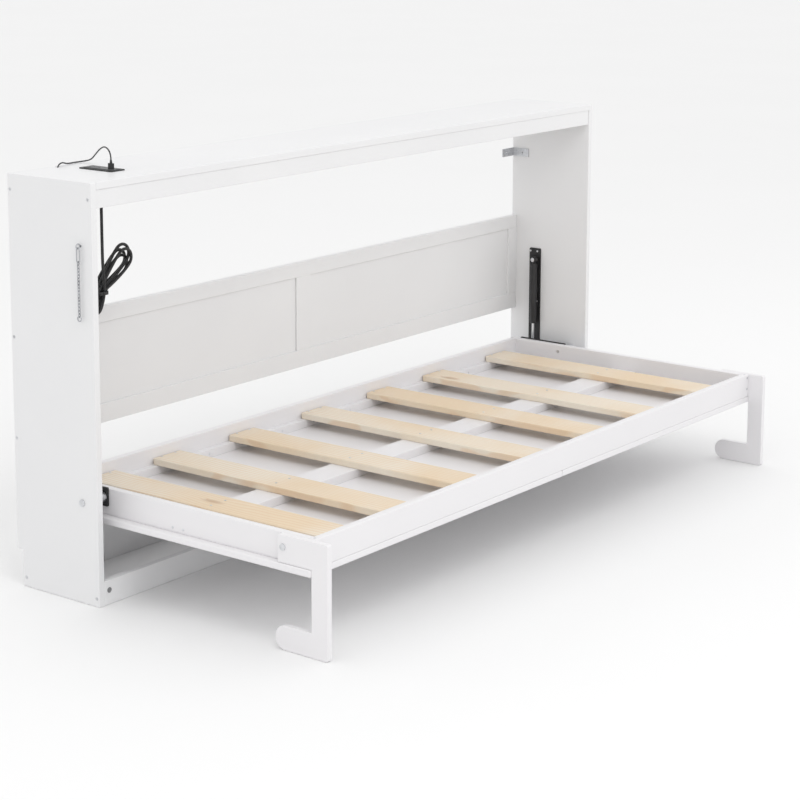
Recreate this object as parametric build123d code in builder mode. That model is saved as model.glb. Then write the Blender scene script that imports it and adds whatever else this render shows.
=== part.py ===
"""Horizontal wall bed: a low cabinet that stands against a wall, and a slatted bed that folds down from it.

X runs along the cabinet, Y points at the wall, Z is up. The origin is on the floor line of the wall,
half way along the cabinet. The bed is modelled open, with its two legs on the floor. Millimetres.
"""
import os
from math import pi, radians, tan

from build123d import *

# Cabinet
cabinet_length = 2210.0
cabinet_depth = 288.0
cabinet_height = 1047.0
board = 18.0  # thickness of every cabinet board
edge_ease = 1.2  # rounding of the boards' edges
skirting_depth = 20.0
skirting_height = 94.0
skirting_clearance = 2.0
apron_height = 45.0
apron_setback = 2.0
top_rail_height = 60.0
lower_rail_height = 120.0
kick_height = 62.0
# Panelled back
back_bottom = 362.0
back_height = 307.0
back_top_rail = 42.0
back_bottom_rail = 50.0
back_end_stile = 46.0
back_middle_stile = 62.0
infill = 6.0
infill_setback = 5.0
groove_depth = 7.0
groove_clearance = 0.3
# Screws through the side panels
screw_radius = 2.5
screw_head_radius = 4.5
screw_head_depth = 2.0
screw_head_recess = 0.4
screw_length = 50.0
screw_end_gap = 2.0
screw_clearance = 0.1
top_rail_screw = 21.0  # below the shelf
back_top_screw = 30.0  # below the back's top edge
back_bottom_screw = 20.0  # above the back's bottom edge
lower_rail_screw = 24.0  # above the floor
kick_screw = 21.0  # above the floor
# Angle brackets that hold the cabinet to the wall
bracket_leg = 62.0
bracket_height = 26.0
bracket_thickness = 3.0
bracket_drop = 158.0  # from the shelf's top down to the bracket
bracket_hole_radius = 3.0
bracket_hole = 40.0  # from the corner
# Connector caps on the kick board
cap_inset = 16.0
cap_height = 37.0
cap_radius = 7.0
cap_rise = 1.0
# Bed frame
bed_length = 2056.0  # outside
bed_width = 854.0  # outside
bed_front = 908.0  # from the wall to the front rail's face
bed_bottom = 191.0
bed_board = 20.0  # thickness of the rails
rail_height = 68.0
bottom_panel = 18.0
overhang = 20.0  # of the bottom panel past each end rail
overhang_rear = 130.0  # from the wall to where the overhang starts
panel_gap = 1.5
cleat_height = 23.0
cleat_width = 20.0
beam_width = 85.0
beam_height = 23.0
slat = 18.0
slat_width = 104.0
slat_ease = 2.5
slat_end_gap = 3.0
slat_margin = 124.0  # from an end rail to the middle of the nearest slat
slat_steps = (0.0, 0.138, 0.307, 0.482, 0.653, 0.81, 1.0)  # places from the first slat to the last
head_radius = 3.5  # of the screws that show on the bed
head_rise = 0.8
front_screw_heights = (58.0, 24.0)  # above the bottom panel
beam_screw_offset = 17.0
slat_screw_offset = 26.0
angle_length = 40.0
angle_leg = 14.0
angle_sheet = 1.5
# Legs
leg_thickness = 16.0
leg_post = 48.0
leg_reach = 156.0  # from the leg's front edge back to the tip of the foot
leg_arm_reach = 148.0
leg_foot_height = 60.0
leg_bolt_inset = 16.0
leg_bolt_drop = 29.0  # from the bed's top down to the leg's bolt
leg_bolt_head = 3.0
leg_bolt_head_radius = 8.0
leg_corner = 6.0
leg_tip_flat = 2.0  # between the two roundings of the foot's tip
leg_ease = 1.5
leg_gap = 0.5  # above the bottom panel's overhang
# Fold
pivot_depth = 236.0
pivot_height = 256.0
pivot_radius = 5.0
running_clearance = 0.05
lever_thickness = 5.0
lever_height = 48.0
lever_nose = 14.0  # in front of the pivot
lever_tail = 21.0  # behind the strut's pin
lever_corner = 3.0
crank = 136.0  # from the pivot back to the strut's pin
hub_radius = 12.0
bolt_head_radius = 9.0
bolt_head = 4.0
bolt_ease = 1.5
lever_screw_radius = 4.0
lever_screw_rise = 2.0
lever_screw_places = (0.2, 0.4, 0.6)  # along the crank, from the pivot
# Gas struts
strut_gap = 35.0  # from the lever's face to the strut's axis
strut_radius = 11.0
strut_top = 532.0
cylinder_drop = 14.0  # from the upper stud down to the cylinder
cylinder_length = 196.0
cylinder_cap = 8.0
cylinder_ease = 2.0
neck_overlap = 1.0  # of the eye's neck into the cylinder
rod_end_gap = 10.0  # above the rod, inside the cylinder
rod_radius = 4.0
eye_radius = 11.0
eye_thickness = 12.0
eye_neck_radius = 5.0
stud_radius = 4.0
stud_overhang = 2.0  # of the stud past the eye
open_pivot_gap = 0.5  # between the strut's foot and the lever
plate_width = 42.0
plate_thickness = 4.0
plate_offset = 6.0  # of the plate's middle behind the strut
plate_corner = 4.0
plate_bottom = 226.0
plate_top = 567.0
# Power unit in the shelf, and the slot for its charging lead
unit_x = -917.0
unit_y = -137.0
unit_size = (50.0, 114.0)
unit_flange = 3.0  # width of the bezel's rim on the shelf
unit_rise = 3.0
unit_depth = 50.0
unit_fit = 0.3
unit_corner = 5.0
unit_ease = 1.0
body_corner = 2.0
face_corner = 3.0
face_ease = 0.6
face_size = (34.0, 98.0)
face_rise = 1.5
outlet_pitch = 34.0
blade_offset = 6.0
blade_slot = (2.0, 7.0)
earth_offset = 9.0
earth_radius = 2.5
usb_y = -36.0
usb_offset = 7.0
usb_slot = (5.0, 12.5)
socket_depth = 3.0
lead_slot_x = -956.0
lead_slot = (22.0, 30.0)
# Mains lead, its tied hank and its plug
mains_diameter = 8.0
mains_inset = 5.0  # of the lead from the middle of the power unit
mains_x = unit_x - mains_inset
gland_length = 24.0
gland_radii = (7.0, 5.0)
hank_drop = 201.0  # from the shelf's top down to the hank
hank_height = 178.0
hank_depth = 54.0
hank_offset = 21.0  # from the lead's straight run back to the middle of the hank
hank_corner = 4.0
# The hank's outline: how far along from the lead's straight run, and how far below the hank's top
hank_fan = ((92.0, 86.0), (122.0, 60.0), (122.0, 26.0), (104.0, 0.0), (-8.0, 0.0))
hank_tail = ((-58.0, 146.0), (-54.0, 170.0), (-42.0, 178.0), (-16.0, 178.0), (8.0, 146.0))
tie_drop = 105.0  # from the hank's top down to the tie
tie_height = 9.0
tie_half = 13.0
tie_wall = 1.6
tie_fit = 0.4
tie_reach = 6.0  # of the hank's straight waist above and below the tie
plug_height = 34.0
plug_offset = (-29.0, 40.0)  # from the lead's straight run
plug_neck = (16.0, 12.0)
plug_face = (26.0, 20.0)
plug_blade = (1.5, 6.3)
plug_blade_offset = 6.35
plug_blade_length = 17.0
plug_corner = 4.0
# Charging lead, its folded hank and its ends
lead_diameter = 3.6
lead_plug_x = -921.0
lead_plug_y = -173.0
lead_plug_body = (8.0, 16.0)
lead_plug_height = 14.0
lead_plug_corner = 2.0
lead_plug_rise = 27.0  # of the plug's relief above the shelf
lead_relief_radii = (3.6, 2.3)
lead_rise = 17.0  # straight up out of its plug
# The lead's way: along the shelf, out from the wall, and above the shelf's top
lead_route = (
    (-907.0, -141.0, 57.0),
    (-888.0, -104.0, 47.0),
    (-868.0, -66.0, 27.0),
    (-853.0, -34.0, 8.0),
    (-860.0, -8.0, 3.0),
    (-887.0, -7.0, 3.0),
    (-915.0, -11.0, 3.0),
    (-938.0, -17.0, 10.0),
    (-957.0, -21.0, 2.0),
    (-958.0, -23.0, -21.0),
    (-956.0, -24.0, -62.0),
    (-957.0, -26.0, -96.0),
    (-957.0, -26.0, -125.0),
)
lead_hank_size = (27.0, 21.0, 72.0)
lead_hank_corner = 6.0
lead_hank_offset = 7.0  # from the lead forward to the middle of its hank
connector_offset = 14.4  # from the lead forward to the connector
connector_body = (11.0, 7.0)
connector_length = 20.0
connector_tongue = (7.5, 2.6)
connector_tongue_length = 6.0
connector_corners = (2.0, 1.0)  # of the body and the tongue
# Safety chain on the left panel
chain_y = -250.0
chain_offset = 9.0  # from the panel
chain_drop = 154.0  # from the shelf's top down to the screw eye
eye_ring_radius = 6.0
chain_wire = 1.5
hook_length = 36.0  # between the middles of its wire
hook_bend = 5.0
link_count = 17
link_wire = 1.1
link_length = 10.4
link_bend = 3.0
chain_gap = 0.3  # between wires that hang in each other
end_ring_radius = 6.0

SIDES = {"left": -1, "right": 1}
half_length = cabinet_length / 2
chain_top = cabinet_height - chain_drop
inner_half = half_length - board
half_bed = bed_length / 2
inner_bed = half_bed - bed_board
bed_rear = bed_front - bed_width
rail_bottom = bed_bottom + bottom_panel
bed_top = rail_bottom + rail_height
slat_bottom = rail_bottom + cleat_height
back_top = back_bottom + back_height
apron_bottom = cabinet_height - board - apron_height
strut_y = -(pivot_depth - crank)
lever_face = half_bed + lever_thickness
chain_x = -half_length - chain_offset
strut_x = lever_face + strut_gap
shelf_bottom = cabinet_height - board
panel_screw_points = (
    (-board / 2, shelf_bottom - top_rail_screw),
    (-cabinet_depth + apron_setback + board / 2, shelf_bottom - apron_height / 2),
    (-board / 2, back_top - back_top_screw),
    (-board / 2, back_bottom + back_bottom_screw),
    (-skirting_depth - skirting_clearance - board / 2, lower_rail_screw),
    (-cabinet_depth + board / 2, kick_screw),
)


def save(piece, name):
    """Labels a finished piece and writes its file."""
    piece.part.label = name
    export_step(piece.part, f"parts/{name}.step")


def fill(x_span, y_span, z_span, mode=Mode.ADD):
    """Adds a plain block between the given limits to the piece being built."""
    low = (x_span[0], y_span[0], z_span[0])
    size = (x_span[1] - low[0], y_span[1] - low[1], z_span[1] - low[2])
    with Locations(low):
        Box(*size, align=(Align.MIN, Align.MIN, Align.MIN), mode=mode)


def board_piece(x_span, y_span, z_span, ease=edge_ease):
    """A flat board with its edges eased."""
    with BuildPart() as piece:
        fill(x_span, y_span, z_span)
        fillet(piece.edges(), radius=ease)
    return piece


def drill_along_x(x_span, points, radius):
    """Cuts round holes along X, at the (y, z) points, out of the piece being built."""
    for y, z in points:
        middle = (x_span[0] + x_span[1]) / 2
        with Locations(Location((middle, y, z), (0, 90, 0))):
            Cylinder(radius, abs(x_span[1] - x_span[0]), mode=Mode.SUBTRACT)


def drill_panel_screws():
    """Cuts the holes of the cabinet's screws out of the board being built."""
    for side in SIDES.values():
        span = (side * half_length, side * (half_length - screw_length))
        drill_along_x(span, panel_screw_points, screw_radius + screw_clearance)


def drilled_board(x_span, y_span, z_span):
    """A cabinet board that the side panels are screwed to."""
    with BuildPart() as piece:
        fill(x_span, y_span, z_span)
        fillet(piece.edges(), radius=edge_ease)
        drill_panel_screws()
    return piece


def side_panel(side):
    """A full-depth end board with a notch at its lower rear corner that clears the skirting."""
    outline = (
        (0, skirting_height),
        (0, cabinet_height),
        (-cabinet_depth, cabinet_height),
        (-cabinet_depth, 0),
        (-skirting_depth, 0),
        (-skirting_depth, skirting_height),
    )
    inner_face = min(side * inner_half, side * half_length)
    with BuildPart() as panel:
        with BuildSketch(Plane.YZ.offset(inner_face)):
            with BuildLine():
                Polyline(*outline, close=True)
            make_face()
        extrude(amount=board)
        across = panel.edges().filter_by(Axis.X)
        front_top = across.filter_by_position(Axis.Y, -cabinet_depth, -cabinet_depth + 1)
        fillet(front_top.sort_by(Axis.Z)[-1], radius=4)
        fillet(panel.faces().filter_by(Axis.X).edges(), radius=edge_ease)
        drill_panel_screws()
        head_span = (side * half_length, side * (half_length - screw_head_depth))
        drill_along_x(head_span, panel_screw_points, screw_head_radius + screw_clearance)
        bolt_span = (side * inner_half, side * half_length)
        drill_along_x(bolt_span, [(-pivot_depth, pivot_height)], pivot_radius + screw_clearance)
    return panel


def round_along_x(x_span, y, z, radius):
    """Adds a round bar along X to the piece being built."""
    middle = (x_span[0] + x_span[1]) / 2
    with Locations(Location((middle, y, z), (0, 90, 0))):
        Cylinder(radius, abs(x_span[1] - x_span[0]))


os.makedirs("parts", exist_ok=True)

# ---------------------------------------------------------------- cabinet
for name, side in SIDES.items():
    save(side_panel(side), f"side_panel_{name}")

with BuildPart() as shelf_top:
    fill((-inner_half, inner_half), (-cabinet_depth, 0), (cabinet_height - board, cabinet_height))
    fillet(shelf_top.edges(), radius=edge_ease)
    with Locations((unit_x, unit_y, cabinet_height)):
        Box(
            unit_size[0] - 2 * unit_flange,
            unit_size[1] - 2 * unit_flange,
            2 * board,
            mode=Mode.SUBTRACT,
        )
    slot_span = (lead_slot_x - lead_slot[0] / 2, lead_slot_x + lead_slot[0] / 2)
    fill(slot_span, (-lead_slot[1], 1), (cabinet_height - board - 1, cabinet_height + 1), Mode.SUBTRACT)
save(shelf_top, "shelf_top")

whole_span = (-inner_half, inner_half)
rear_span = (-board, 0)
apron_face = -cabinet_depth + apron_setback
save(
    drilled_board(whole_span, (apron_face, apron_face + board), (apron_bottom, cabinet_height - board)),
    "shelf_apron",
)
save(
    drilled_board(
        whole_span, rear_span, (cabinet_height - board - top_rail_height, cabinet_height - board)
    ),
    "top_rear_rail",
)
lower_face = -skirting_depth - skirting_clearance - board
save(drilled_board(whole_span, (lower_face, lower_face + board), (0, lower_rail_height)), "lower_rear_rail")
kick_span = (-cabinet_depth, -cabinet_depth + board)
save(drilled_board(whole_span, kick_span, (0, kick_height)), "kick_board")

# Panelled back: two rails, three stiles and two thin panels that sit in grooves
panel_front = -board + infill_setback
field_low = back_bottom + back_bottom_rail
field_high = back_top - back_top_rail
field_start = back_middle_stile / 2
field_end = inner_half - back_end_stile


def cut_grooves():
    """Cuts the room of the two thin panels out of the frame piece being built."""
    reach = groove_depth + groove_clearance
    depth = (panel_front - groove_clearance, panel_front + infill + groove_clearance)
    for side in SIDES.values():
        ends = sorted((side * (field_start - reach), side * (field_end + reach)))
        fill(ends, depth, (field_low - reach, field_high + reach), Mode.SUBTRACT)


def back_frame_piece(x_span, z_span):
    """A rail or stile of the panelled back."""
    with BuildPart() as piece:
        fill(x_span, rear_span, z_span)
        fillet(piece.edges(), radius=edge_ease)
        cut_grooves()
        drill_panel_screws()
    return piece


save(back_frame_piece(whole_span, (field_high, back_top)), "back_top_rail")
save(back_frame_piece(whole_span, (back_bottom, field_low)), "back_bottom_rail")
save(back_frame_piece((-field_start, field_start), (field_low, field_high)), "back_middle_stile")
stile_height = (field_low, field_high)
panel_height = (field_low - groove_depth, field_high + groove_depth)
with BuildPart() as back_end_stiles:
    for side in SIDES.values():
        fill(sorted((side * field_end, side * inner_half)), rear_span, stile_height)
    fillet(back_end_stiles.edges(), radius=edge_ease)
    cut_grooves()
save(back_end_stiles, "back_end_stiles")
with BuildPart() as back_panels:
    for side in SIDES.values():
        ends = sorted((side * (field_start - groove_depth), side * (field_end + groove_depth)))
        fill(ends, (panel_front, panel_front + infill), panel_height)
save(back_panels, "back_panels")

# Screws of the cabinet, as one group
with BuildPart() as cabinet_screws:
    for side in SIDES.values():
        for y, z in panel_screw_points:
            face = side * (half_length - screw_head_recess)
            neck = side * (half_length - screw_head_depth)
            tip = side * (half_length - screw_length + screw_end_gap)
            round_along_x((face, neck), y, z, screw_head_radius)
            round_along_x((neck, tip), y, z, screw_radius)
save(cabinet_screws, "cabinet_screws")

# Angle brackets that hold the cabinet to the wall
bracket_top = cabinet_height - bracket_drop
bracket_heights = (bracket_top - bracket_height, bracket_top)
with BuildPart() as wall_brackets:
    for side in SIDES.values():
        corner = side * inner_half
        fill(sorted((corner, corner - side * bracket_leg)), (-bracket_thickness, 0), bracket_heights)
        fill(sorted((corner, corner - side * bracket_thickness)), (-bracket_leg, 0), bracket_heights)
        hole_z = bracket_top - bracket_height / 2
        with Locations(Location((corner - side * bracket_hole, 0, hole_z), (90, 0, 0))):
            Cylinder(bracket_hole_radius, 4 * bracket_thickness, mode=Mode.SUBTRACT)
        side_hole = (corner, corner - side * 2 * bracket_thickness)
        drill_along_x(side_hole, [(-bracket_hole, hole_z)], bracket_hole_radius)
save(wall_brackets, "wall_brackets")

# ---------------------------------------------------------------- bed frame
bed_span = (-half_bed, half_bed)
inner_span = (-inner_bed, inner_bed)
rail_heights = (rail_bottom, bed_top)
front_rail_span = (-bed_front, -bed_front + bed_board)
rear_rail_span = (-bed_rear - bed_board, -bed_rear)
save(board_piece(bed_span, front_rail_span, rail_heights, ease=2), "bed_front_rail")
save(board_piece(bed_span, rear_rail_span, rail_heights, ease=2), "bed_rear_rail")
for name, side in SIDES.items():
    bolt_point = [(-pivot_depth, pivot_height)]
    with BuildPart() as end_rail:
        ends = sorted((side * inner_bed, side * half_bed))
        fill(ends, (front_rail_span[1], rear_rail_span[0]), rail_heights)
        fillet(end_rail.edges().filter_by(Axis.Y), radius=2)
        drill_along_x(ends, bolt_point, pivot_radius + running_clearance)
    save(end_rail, f"bed_end_rail_{name}")
    outline = (
        (side * panel_gap / 2, -bed_rear),
        (side * half_bed, -bed_rear),
        (side * half_bed, -overhang_rear),
        (side * (half_bed + overhang), -overhang_rear),
        (side * (half_bed + overhang), -bed_front),
        (side * panel_gap / 2, -bed_front),
    )
    with BuildPart() as bottom:
        with BuildSketch(Plane.XY.offset(bed_bottom)):
            with BuildLine():
                Polyline(*outline, close=True)
            make_face()
        extrude(amount=bottom_panel)
        tips = bottom.edges().filter_by(Axis.Z).sort_by(lambda edge: side * edge.center().X)[-2:]
        fillet(tips, radius=5)
        fillet(bottom.faces().filter_by(Axis.Z).edges(), radius=4)
    save(bottom, f"bed_bottom_panel_{name}")

cleat_heights = (rail_bottom, slat_bottom)
front_cleat_span = (front_rail_span[1], front_rail_span[1] + cleat_width)
rear_cleat_span = (rear_rail_span[0] - cleat_width, rear_rail_span[0])
save(board_piece(inner_span, front_cleat_span, cleat_heights), "front_cleat")
save(board_piece(inner_span, rear_cleat_span, cleat_heights), "rear_cleat")
beam_y = -(bed_front + bed_rear) / 2
beam_span = (beam_y - beam_width / 2, beam_y + beam_width / 2)
save(board_piece(inner_span, beam_span, (rail_bottom, rail_bottom + beam_height)), "centre_beam")

first_slat = -inner_bed + slat_margin
last_slat = inner_bed - slat_margin
slat_places = [first_slat + step * (last_slat - first_slat) for step in slat_steps]
slat_length_span = (front_rail_span[1] + slat_end_gap, rear_rail_span[0] - slat_end_gap)
with BuildPart() as slats:
    for place in slat_places:
        x_span = (place - slat_width / 2, place + slat_width / 2)
        fill(x_span, slat_length_span, (slat_bottom, slat_bottom + slat))
    fillet(slats.edges(), radius=slat_ease)
save(slats, "slats")

# Screw heads on the slats, and the steel angles under their ends
row_front = (front_cleat_span[0] + front_cleat_span[1]) / 2
row_rear = (rear_cleat_span[0] + rear_cleat_span[1]) / 2
with BuildPart() as slat_screws:
    for place in slat_places:
        for row in (row_front, beam_y, row_rear):
            for offset in (-slat_screw_offset, slat_screw_offset):
                with Locations((place + offset, row, slat_bottom + slat + head_rise / 2)):
                    Cylinder(head_radius, head_rise)
save(slat_screws, "slat_screws")

with BuildPart() as slat_angles:
    for place in slat_places:
        for face, way in ((front_cleat_span[1], 1), (rear_cleat_span[0], -1)):
            x_span = (place - angle_length / 2, place + angle_length / 2)
            fill(x_span, sorted((face, face + way * angle_sheet)), (slat_bottom - angle_leg, slat_bottom))
            fill(x_span, sorted((face, face + way * angle_leg)), (slat_bottom - angle_sheet, slat_bottom))
save(slat_angles, "slat_angles")

# ---------------------------------------------------------------- legs
leg_front = -bed_front - leg_post
leg_bolt = (leg_front + leg_arm_reach - leg_bolt_inset, bed_top - leg_bolt_drop)


def leg(side):
    """A flat leg cut from one board: an arm on the end rail, a post in front of the bed and a foot."""
    arm_low = rail_bottom + leg_gap
    post_rear = leg_front + leg_post
    outline = (
        (leg_front, 0),
        (leg_front, bed_top),
        (leg_front + leg_arm_reach, bed_top),
        (leg_front + leg_arm_reach, arm_low),
        (post_rear, arm_low),
        (post_rear, leg_foot_height),
        (leg_front + leg_reach, leg_foot_height),
        (leg_front + leg_reach, 0),
    )
    with BuildPart() as piece:
        with BuildSketch(Plane.YZ.offset(min(side * half_bed, side * (half_bed + leg_thickness)))) as shape:
            with BuildLine():
                Polyline(*outline, close=True)
            make_face()
            fillet(shape.vertices().group_by(Axis.X)[-1], radius=(leg_foot_height - leg_tip_flat) / 2)
            fillet(shape.vertices().group_by(Axis.X)[0], radius=leg_corner)
            arm_corner = shape.vertices().group_by(Axis.Y)[-1].sort_by(Axis.X)[-1]
            fillet(arm_corner, radius=leg_corner)
        extrude(amount=leg_thickness)
        fillet(piece.faces().filter_by(Axis.X).edges(), radius=leg_ease)
        drill_along_x((side * half_bed, side * (half_bed + leg_thickness)), [leg_bolt], pivot_radius)
    return piece


for name, side in SIDES.items():
    save(leg(side), f"leg_{name}")

# ---------------------------------------------------------------- fold
cylinder_top = strut_top - cylinder_drop
cylinder_bottom = cylinder_top - cylinder_length

for name, side in SIDES.items():
    pivot_point = [(-pivot_depth, pivot_height)]
    inside = side * half_bed
    with BuildPart() as lever:
        fill(
            sorted((inside, side * lever_face)),
            (-pivot_depth - lever_nose, strut_y + lever_tail),
            (pivot_height - lever_height / 2, pivot_height + lever_height / 2),
        )
        fillet(lever.edges().filter_by(Axis.X), radius=lever_corner)
        drill_along_x((inside, side * lever_face), pivot_point, pivot_radius + running_clearance)
    save(lever, f"bed_lever_{name}")

    with BuildPart() as bolt:
        head = (side * half_length, side * (half_length + bolt_head))
        round_along_x(head, -pivot_depth, pivot_height, bolt_head_radius)
        round_along_x((head[0], side * inner_bed), -pivot_depth, pivot_height, pivot_radius)
        fillet(bolt.faces().sort_by(lambda face: side * face.center().X)[-1].edges(), radius=bolt_ease)
    save(bolt, f"pivot_bolt_{name}")

    # Plate on the side panel that carries the strut's upper stud
    plate_face = side * (inner_half - plate_thickness)
    with BuildPart() as plate:
        plate_y = strut_y + plate_offset
        fill(
            sorted((plate_face, side * inner_half)),
            (plate_y - plate_width / 2, plate_y + plate_width / 2),
            (plate_bottom, plate_top),
        )
        fillet(plate.edges().filter_by(Axis.X), radius=plate_corner)
        stud_end = side * (strut_x - eye_thickness / 2 - stud_overhang)
        round_along_x((plate_face, stud_end), strut_y, strut_top, stud_radius)
    save(plate, f"strut_plate_{name}")

    # Gas strut: an eye on the plate's stud, the cylinder, the rod and the eye at its foot
    eye_span = (side * (strut_x - eye_thickness / 2), side * (strut_x + eye_thickness / 2))
    with BuildPart() as cylinder:
        with BuildSketch(Plane.XY.offset(cylinder_bottom)):
            with Locations((side * strut_x, strut_y)):
                Circle(strut_radius)
        extrude(amount=cylinder_length)
        fillet(cylinder.edges(), radius=cylinder_ease)
        with BuildSketch(Plane.XY.offset(cylinder_top - neck_overlap)):
            with Locations((side * strut_x, strut_y)):
                Circle(eye_neck_radius)
        extrude(amount=strut_top - cylinder_top + neck_overlap)
        round_along_x(eye_span, strut_y, strut_top, eye_radius)
        drill_along_x(eye_span, [(strut_y, strut_top)], stud_radius + running_clearance)
        with BuildSketch(Plane.XY.offset(cylinder_bottom)):
            with Locations((side * strut_x, strut_y)):
                Circle(rod_radius + running_clearance)
        extrude(amount=cylinder_length - cylinder_cap, mode=Mode.SUBTRACT)
    save(cylinder, f"strut_cylinder_{name}")

    with BuildPart() as rod:
        round_along_x(eye_span, strut_y, pivot_height, eye_radius)
        foot_stud = (side * (lever_face + open_pivot_gap), eye_span[0])
        round_along_x(foot_stud, strut_y, pivot_height, stud_radius)
        with BuildSketch(Plane.XY.offset(pivot_height)):
            with Locations((side * strut_x, strut_y)):
                Circle(rod_radius)
        extrude(amount=cylinder_top - cylinder_cap - rod_end_gap - pivot_height)
    save(rod, f"strut_rod_{name}")

with BuildPart() as pivot_spacers:
    for side in SIDES.values():
        spacer_span = (side * (lever_face + open_pivot_gap), side * inner_half)
        round_along_x(spacer_span, -pivot_depth, pivot_height, hub_radius)
        drill_along_x(spacer_span, [(-pivot_depth, pivot_height)], pivot_radius + screw_clearance)
save(pivot_spacers, "pivot_spacers")

with BuildPart() as bed_bolts:
    for side in SIDES.values():
        leg_face = side * (half_bed + leg_thickness)
        round_along_x((side * half_bed, leg_face), *leg_bolt, pivot_radius - screw_clearance)
        round_along_x((leg_face, leg_face + side * leg_bolt_head), *leg_bolt, leg_bolt_head_radius)
        for share in lever_screw_places:
            head = (side * lever_face, side * (lever_face + lever_screw_rise))
            round_along_x(head, -pivot_depth + share * crank, pivot_height, lever_screw_radius)
save(bed_bolts, "bed_bolts")

# ---------------------------------------------------------------- screws that show on the bed
corner_inset = bed_board / 2
beam_screw_height = rail_bottom + beam_height / 2
cleat_screw_height = rail_bottom + cleat_height / 2

with BuildPart() as bed_screws:
    for side in SIDES.values():
        corner_x = side * (half_bed - corner_inset)
        for height in front_screw_heights:
            middle = (corner_x, -bed_front - head_rise / 2, rail_bottom + height)
            with Locations(Location(middle, (90, 0, 0))):
                Cylinder(head_radius, head_rise)
        with Locations((corner_x, -bed_front + corner_inset, bed_top + head_rise / 2)):
            Cylinder(head_radius, head_rise)
        for offset in (-beam_screw_offset, beam_screw_offset):
            head = (side * half_bed, side * (half_bed + head_rise))
            round_along_x(head, beam_y + offset, beam_screw_height, head_radius)
    for left, right in zip(slat_places, slat_places[1:]):
        between = (left + right) / 2
        for face, way in ((front_cleat_span[1], 1), (rear_cleat_span[0], -1)):
            middle = (between, face + way * head_rise / 2, cleat_screw_height)
            with Locations(Location(middle, (90, 0, 0))):
                Cylinder(head_radius, head_rise)
save(bed_screws, "bed_screws")

with BuildPart() as connector_caps:
    for side in SIDES.values():
        cap_middle = (side * (inner_half - cap_inset), -cabinet_depth - cap_rise / 2, cap_height)
        with Locations(Location(cap_middle, (90, 0, 0))):
            Cylinder(cap_radius, cap_rise)
save(connector_caps, "connector_caps")

# ---------------------------------------------------------------- power unit in the shelf
body_size = (unit_size[0] - 2 * (unit_flange + unit_fit), unit_size[1] - 2 * (unit_flange + unit_fit))
unit_bottom = cabinet_height - unit_depth

with BuildPart() as power_body:
    with BuildSketch(Plane.XY.offset(unit_bottom)):
        with Locations((unit_x, unit_y)):
            RectangleRounded(*body_size, body_corner)
    extrude(amount=unit_depth)
save(power_body, "power_body")

with BuildPart() as power_bezel:
    with BuildSketch(Plane.XY.offset(cabinet_height)):
        with Locations((unit_x, unit_y)):
            RectangleRounded(*unit_size, unit_corner)
    extrude(amount=unit_rise)
    fillet(power_bezel.faces().sort_by(Axis.Z)[-1].edges(), radius=unit_ease)
    with BuildSketch(Plane.XY.offset(cabinet_height)):
        with Locations((unit_x, unit_y)):
            RectangleRounded(face_size[0] + unit_fit, face_size[1] + unit_fit, face_corner)
    extrude(amount=unit_rise, mode=Mode.SUBTRACT)
save(power_bezel, "power_bezel")

face_top = cabinet_height + unit_rise + face_rise
with BuildPart() as power_face:
    with BuildSketch(Plane.XY.offset(cabinet_height)):
        with Locations((unit_x, unit_y)):
            RectangleRounded(*face_size, face_corner)
    extrude(amount=face_top - cabinet_height)
    fillet(power_face.faces().sort_by(Axis.Z)[-1].edges(), radius=face_ease)
    with BuildSketch(Plane.XY.offset(face_top)):
        for outlet in range(2):
            middle_y = unit_y + outlet_pitch * outlet
            with Locations((unit_x - blade_offset, middle_y), (unit_x + blade_offset, middle_y)):
                Rectangle(*blade_slot)
            with Locations((unit_x, middle_y + earth_offset)):
                Circle(earth_radius)
        with Locations((unit_x - usb_offset, unit_y + usb_y), (unit_x + usb_offset, unit_y + usb_y)):
            Rectangle(*usb_slot)
    extrude(amount=-socket_depth, mode=Mode.SUBTRACT)
save(power_face, "power_face")

# ---------------------------------------------------------------- cords


def cord_tube(points, diameter, name):
    """A round tube along straight runs joined by arcs as large as the runs allow; prints the radii."""
    route = [Vector(*point) for point in points]
    runs = [after - before for before, after in zip(route, route[1:])]
    radii = []
    for run, following in zip(runs, runs[1:]):
        half_turn = radians(run.get_angle(following)) / 2
        radii.append(0.45 * min(run.length, following.length) / tan(half_turn))
    with BuildPart() as tube:
        with BuildLine() as path:
            if radii:
                FilletPolyline(*route, radius=radii)
            else:
                Line(*route)
        with BuildSketch(Plane(route[0], z_dir=runs[0])):
            Circle(diameter / 2)
        sweep()
    length = sum(edge.length for edge in path.edges())
    section = pi * diameter**2 / 4
    print(name, "length", round(length, 1), "radii", [round(radius, 1) for radius in radii])
    print(name, "volume over section times length", round(tube.part.volume / (section * length), 4))
    return tube


# Mains lead: straight down from the power unit, then a tied hank with the plug on its end
hank_top = cabinet_height - hank_drop
mains_points = ((mains_x, unit_y, unit_bottom - gland_length), (mains_x, unit_y, hank_top))

with BuildPart() as mains_gland:
    with BuildSketch(Plane.XY.offset(unit_bottom)):
        with Locations((mains_x, unit_y)):
            Circle(gland_radii[0])
    with BuildSketch(Plane.XY.offset(unit_bottom - gland_length)):
        with Locations((mains_x, unit_y)):
            Circle(gland_radii[1])
    loft()
save(mains_gland, "mains_gland")
save(cord_tube(mains_points, mains_diameter, "mains cord"), "mains_cord")

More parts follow.
